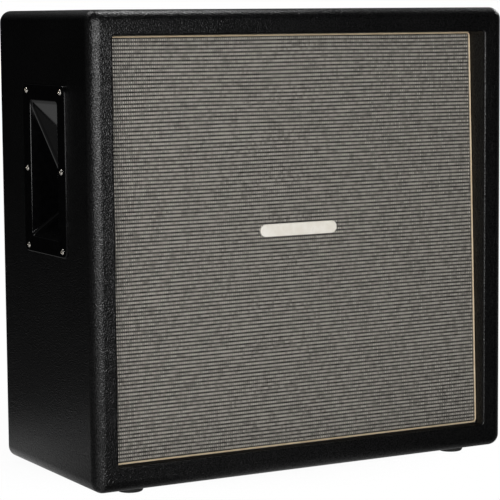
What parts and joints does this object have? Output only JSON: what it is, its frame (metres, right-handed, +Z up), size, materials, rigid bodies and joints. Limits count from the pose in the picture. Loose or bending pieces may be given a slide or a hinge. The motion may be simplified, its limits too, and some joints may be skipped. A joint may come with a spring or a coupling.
{
  "type": "guitar speaker cabinet",
  "caption": "Closed-back guitar speaker cabinet: vinyl-covered box with a leaning cloth grille, recessed side handles, rubber feet and a rear jack, with cone drivers inside.",
  "frame": {"origin": "on the floor under the middle of the cabinet", "axes": "+X to the right of someone facing the grille, +Y from the grille to the rear panel, +Z up"},
  "size_m": [0.7206, 0.326, 0.6985],
  "materials": {
    "black_vinyl": "satin",
    "birch_ply": "matte",
    "pine": "matte",
    "grille_weave": "matte",
    "cream_piping": "satin",
    "cream_plastic": "gloss",
    "black_plastic": "gloss",
    "nickel": "polished",
    "black_screws": "satin",
    "zinc": "satin",
    "black_rubber": "matte",
    "black_steel": "satin",
    "socket_plastic": "satin",
    "wire_sleeve": "satin",
    "gasket_fibre": "matte",
    "ferrite": "matte",
    "terminal_board": "satin",
    "basket_steel": "satin",
    "cone_paper": "matte",
    "cap_paper": "matte",
    "coil_copper": "satin",
    "spider_cloth": "matte"
  },
  "bodies": {
    "cabinet": {"vinyl_covering": "black_vinyl", "rear_panel_vinyl": "black_vinyl", "top_board": "birch_ply", "bottom_board": "birch_ply", "left_side_board": "birch_ply", "right_side_board": "birch_ply", "front_battens": "pine", "rear_battens": "pine", "baffle_board": "birch_ply", "rear_panel": "birch_ply", "centre_post": "pine", "grille_cloth": "grille_weave", "grille_piping": "cream_piping", "badge_plate": "cream_plastic", "left_handle": "black_plastic", "right_handle": "black_plastic", "handle_screws": "nickel", "jack_plate_screws": "black_screws", "rear_panel_screws": "black_screws", "rear_screw_cups": "nickel", "baffle_screws": "zinc", "foot_screws": "zinc", "foot_washers": "zinc", "rubber_feet": "black_rubber", "jack_plate": "black_steel", "jack_socket": "socket_plastic", "jack_nut": "nickel", "speaker_wiring": "wire_sleeve", "driver_bolts": "zinc", "driver_nuts": "zinc", "driver_gaskets": "gasket_fibre", "driver_top_plates": "zinc", "driver_magnets": "ferrite", "driver_yokes": "zinc", "driver_terminals": "terminal_board", "upper_left_basket": "basket_steel", "upper_left_cone_edge": "cone_paper", "upper_left_spider": "spider_cloth", "upper_right_basket": "basket_steel", "upper_right_cone_edge": "cone_paper", "upper_right_spider": "spider_cloth", "lower_left_basket": "basket_steel", "lower_left_cone_edge": "cone_paper", "lower_left_spider": "spider_cloth", "lower_right_basket": "basket_steel", "lower_right_cone_edge": "cone_paper", "lower_right_spider": "spider_cloth"},
    "upper_left_moving_cone": {"upper_left_cone": "cone_paper", "upper_left_dust_cap": "cap_paper", "upper_left_voice_coil": "coil_copper"},
    "upper_right_moving_cone": {"upper_right_cone": "cone_paper", "upper_right_dust_cap": "cap_paper", "upper_right_voice_coil": "coil_copper"},
    "lower_left_moving_cone": {"lower_left_cone": "cone_paper", "lower_left_dust_cap": "cap_paper", "lower_left_voice_coil": "coil_copper"},
    "lower_right_moving_cone": {"lower_right_cone": "cone_paper", "lower_right_dust_cap": "cap_paper", "lower_right_voice_coil": "coil_copper"}
  },
  "joints": [
    {"name": "upper_left_cone_travel", "type": "slide", "parent": "cabinet", "child": "upper_left_moving_cone", "axis": [0, -0.9994, 0.0349], "range_m": [-0.003, 0.003], "stiffness_N_per_m": 6600, "deforming": ["upper_left_cone_edge", "upper_left_spider"]},
    {"name": "upper_right_cone_travel", "type": "slide", "parent": "cabinet", "child": "upper_right_moving_cone", "axis": [0, -0.9994, 0.0349], "range_m": [-0.003, 0.003], "stiffness_N_per_m": 6600, "deforming": ["upper_right_cone_edge", "upper_right_spider"]},
    {"name": "lower_left_cone_travel", "type": "slide", "parent": "cabinet", "child": "lower_left_moving_cone", "axis": [0, -0.9994, 0.0349], "range_m": [-0.003, 0.003], "stiffness_N_per_m": 6600, "deforming": ["lower_left_cone_edge", "lower_left_spider"]},
    {"name": "lower_right_cone_travel", "type": "slide", "parent": "cabinet", "child": "lower_right_moving_cone", "axis": [0, -0.9994, 0.0349], "range_m": [-0.003, 0.003], "stiffness_N_per_m": 6600, "deforming": ["lower_right_cone_edge", "lower_right_spider"]}
  ]
}
